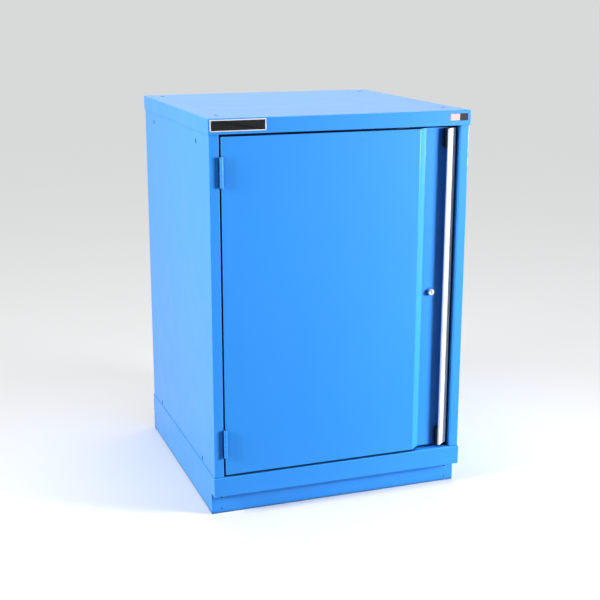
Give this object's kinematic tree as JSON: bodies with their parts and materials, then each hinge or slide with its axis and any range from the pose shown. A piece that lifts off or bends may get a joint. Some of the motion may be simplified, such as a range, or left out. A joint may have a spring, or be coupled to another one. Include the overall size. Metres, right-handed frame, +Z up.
{
  "type": "tool chest side locker",
  "caption": "Blue sheet-steel workshop locker on a set-back base, with a hinged stepped door, full-height aluminium pull, cam lock and clip-in shelves.",
  "frame": {"origin": "bottom centre of the housing, on the floor", "axes": "+Z up, +X to the right as seen from the front, +Y from the door to the back"},
  "size_m": [0.7176, 0.7326, 1.0604],
  "materials": {
    "blue_paint": "fine satin powder coat, bright blue",
    "bright_aluminium": "bright satin extrusion",
    "lock_chrome": "polished",
    "zinc_plate": "bright zinc plate",
    "black_plastic": "matte moulded plastic"
  },
  "bodies": {
    "housing": {"top_pan": "blue_paint", "bottom_pan": "blue_paint", "left_side_panel": "blue_paint", "right_side_panel": "blue_paint", "back_panel": "blue_paint", "front_kick_plate": "blue_paint", "rear_kick_plate": "blue_paint", "base_left_rail": "blue_paint", "base_right_rail": "blue_paint", "shelf_1": "blue_paint", "shelf_2": "blue_paint", "shelf_upright_left_front": "blue_paint", "shelf_upright_left_rear": "blue_paint", "shelf_upright_right_front": "blue_paint", "shelf_upright_right_rear": "blue_paint", "upper_hinge_frame_leaf": "blue_paint", "lower_hinge_frame_leaf": "blue_paint", "shelf_clip_1_left_front": "zinc_plate", "shelf_clip_1_left_rear": "zinc_plate", "shelf_clip_1_right_front": "zinc_plate", "shelf_clip_1_right_rear": "zinc_plate", "shelf_clip_2_left_front": "zinc_plate", "shelf_clip_2_left_rear": "zinc_plate", "shelf_clip_2_right_front": "zinc_plate", "shelf_clip_2_right_rear": "zinc_plate", "upper_hinge_pin": "zinc_plate", "lower_hinge_pin": "zinc_plate", "magnetic_catch": "black_plastic"},
    "door": {"door_skin": "blue_paint", "door_stiffener": "blue_paint", "upper_hinge_door_leaf": "blue_paint", "lower_hinge_door_leaf": "blue_paint", "pull_handle": "bright_aluminium", "handle_top_block": "black_plastic", "handle_bottom_block": "black_plastic", "strike_plate": "zinc_plate", "lock_barrel": "lock_chrome", "lock_nut": "zinc_plate"},
    "lock": {"lock_plug": "lock_chrome", "lock_cam": "zinc_plate", "cam_screw": "zinc_plate"}
  },
  "joints": [
    {"name": "door_swing", "type": "hinge", "parent": "housing", "child": "door", "pos_m": [-0.32693, -0.36615, 0.5684], "axis": [0, 0, -1], "range_deg": [0, 180]},
    {"name": "lock_turn", "type": "hinge", "parent": "door", "child": "lock", "pos_m": [0.26567, -0.34045, 0.5684], "axis": [0, 1, 0], "range_deg": [0, 90]}
  ]
}
